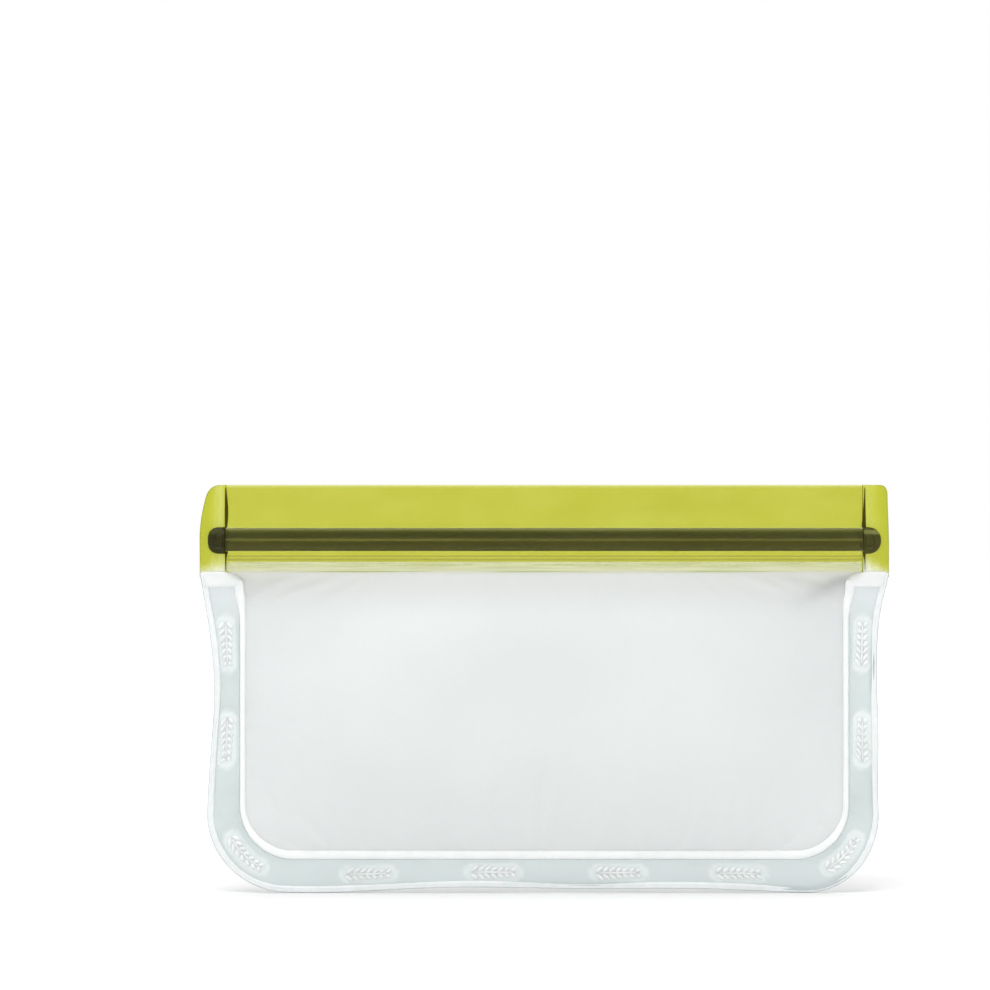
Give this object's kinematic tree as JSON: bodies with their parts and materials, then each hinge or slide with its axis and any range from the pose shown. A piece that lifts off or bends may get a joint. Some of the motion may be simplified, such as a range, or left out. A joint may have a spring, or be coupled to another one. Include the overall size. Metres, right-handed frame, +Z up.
{
  "type": "reusable zip pouch",
  "caption": "Flat frosted film pouch with a welded border and a press closure of twin tracks between tinted tapes across its mouth.",
  "frame": {"origin": "middle of the bag's bottom edge, in the plane where the two films meet", "axes": "+X along the mouth, the front film faces -Y, +Z up from the bottom edge to the lips"},
  "size_m": [0.197, 0.02, 0.1166],
  "materials": {
    "film": "frosted, translucent, softly wrinkled",
    "weld": "pressed, milky, fine ridged",
    "border": "two films fused, translucent grey, satin",
    "tape": "tinted yellow-green, translucent, satin gloss",
    "track": "dark olive, satin"
  },
  "bodies": {
    "welded_frame": {"fused_border": "border", "inner_weld_bead": "weld", "outer_edge_bead": "weld", "left_side_tab": "tape", "right_side_tab": "tape", "left_end_stop": "track", "right_end_stop": "track"},
    "front_wall": {"front_panel": "film", "front_tape": "tape", "front_upper_channel": "track", "front_lower_channel": "track"},
    "back_wall": {"back_panel": "film", "back_tape": "tape", "back_upper_rib": "track", "back_lower_rib": "track"}
  },
  "joints": [
    {"name": "front_wall_swing", "type": "hinge", "parent": "welded_frame", "child": "front_wall", "pos_m": [0, -0.00055, 0.0123], "axis": [1, 0, 0], "range_deg": [0, 14]},
    {"name": "back_wall_swing", "type": "hinge", "parent": "welded_frame", "child": "back_wall", "pos_m": [0, 0.00055, 0.0123], "axis": [-1, 0, 0], "range_deg": [0, 14]}
  ]
}
